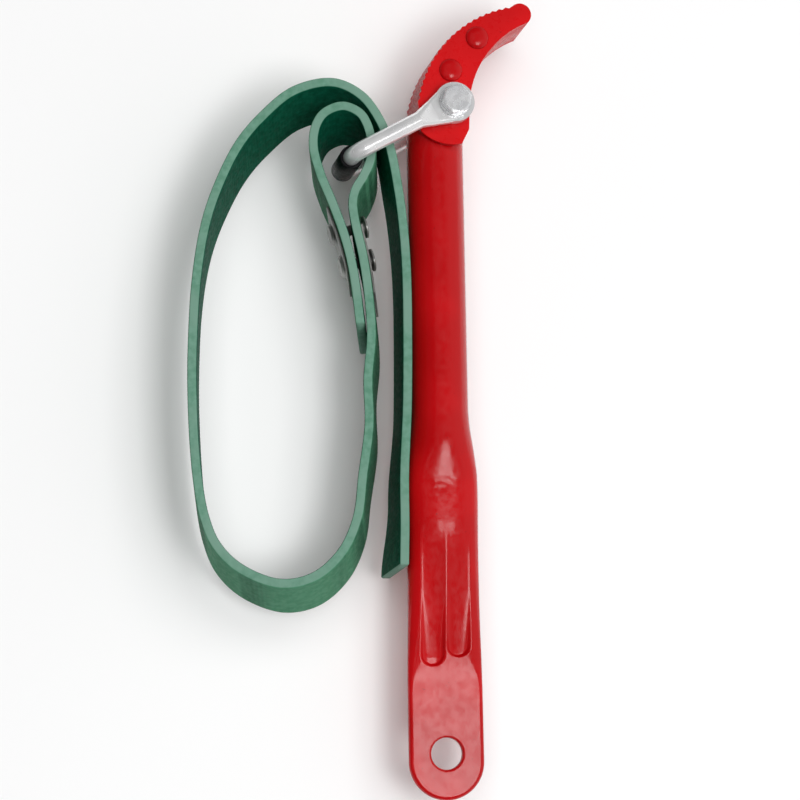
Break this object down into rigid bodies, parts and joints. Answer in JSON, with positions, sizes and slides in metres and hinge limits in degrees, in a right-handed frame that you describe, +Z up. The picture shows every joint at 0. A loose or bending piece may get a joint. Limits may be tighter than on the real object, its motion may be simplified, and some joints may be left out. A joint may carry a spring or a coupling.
{
  "type": "strap oil filter wrench",
  "caption": "Strap oil filter wrench: red tube handle with toothed hooked jaw, pivoting steel shackle with roller, riveted green strap loop.",
  "frame": {"origin": "middle of the footprint, on the surface that the wrench lies on", "axes": "+Y along the handle towards the jaw, +Z up along the pivot bolt to its head, +X from the strap loop to the jaw's tip"},
  "size_m": [0.1327, 0.3014, 0.0488],
  "materials": {
    "red_paint": "gloss enamel",
    "zinc_plate": "bright zinc plate",
    "bright_steel": "bright plated rod",
    "clamp_steel": "dull plated steel",
    "nylon": "matte",
    "black_sleeve": "satin",
    "green_strap": "ribbed rubberised fabric"
  },
  "bodies": {
    "handle": {"handle_tube": "red_paint", "front_cheek": "red_paint", "rear_cheek": "red_paint", "jaw_core": "red_paint", "jaw_rivets": "red_paint", "pivot_bolt": "zinc_plate", "front_washer": "zinc_plate", "rear_washer": "zinc_plate", "pivot_nut": "zinc_plate", "nut_insert": "nylon"},
    "shackle": {"shackle": "bright_steel"},
    "roller": {"roller_sleeve": "black_sleeve"},
    "strap": {"strap": "green_strap", "flap_plate": "clamp_steel", "strap_plate": "clamp_steel", "strap_rivets": "clamp_steel", "rivet_burrs": "clamp_steel"}
  },
  "joints": [
    {"name": "shackle_pivot", "type": "hinge", "parent": "handle", "child": "shackle", "pos_m": [0.0347, 0.1105, 0.0256], "axis": [0, 0, 1], "range_deg": [-68, 0]},
    {"name": "roller_spin", "type": "hinge", "parent": "shackle", "child": "roller", "pos_m": [-0.00408, 0.08971, 0.0256], "axis": [0, 0, 1], "continuous": true},
    {"name": "strap_swivel", "type": "hinge", "parent": "shackle", "child": "strap", "pos_m": [-0.00408, 0.08971, 0.0256], "axis": [0, 0, 1], "range_deg": [-15, 0]}
  ]
}
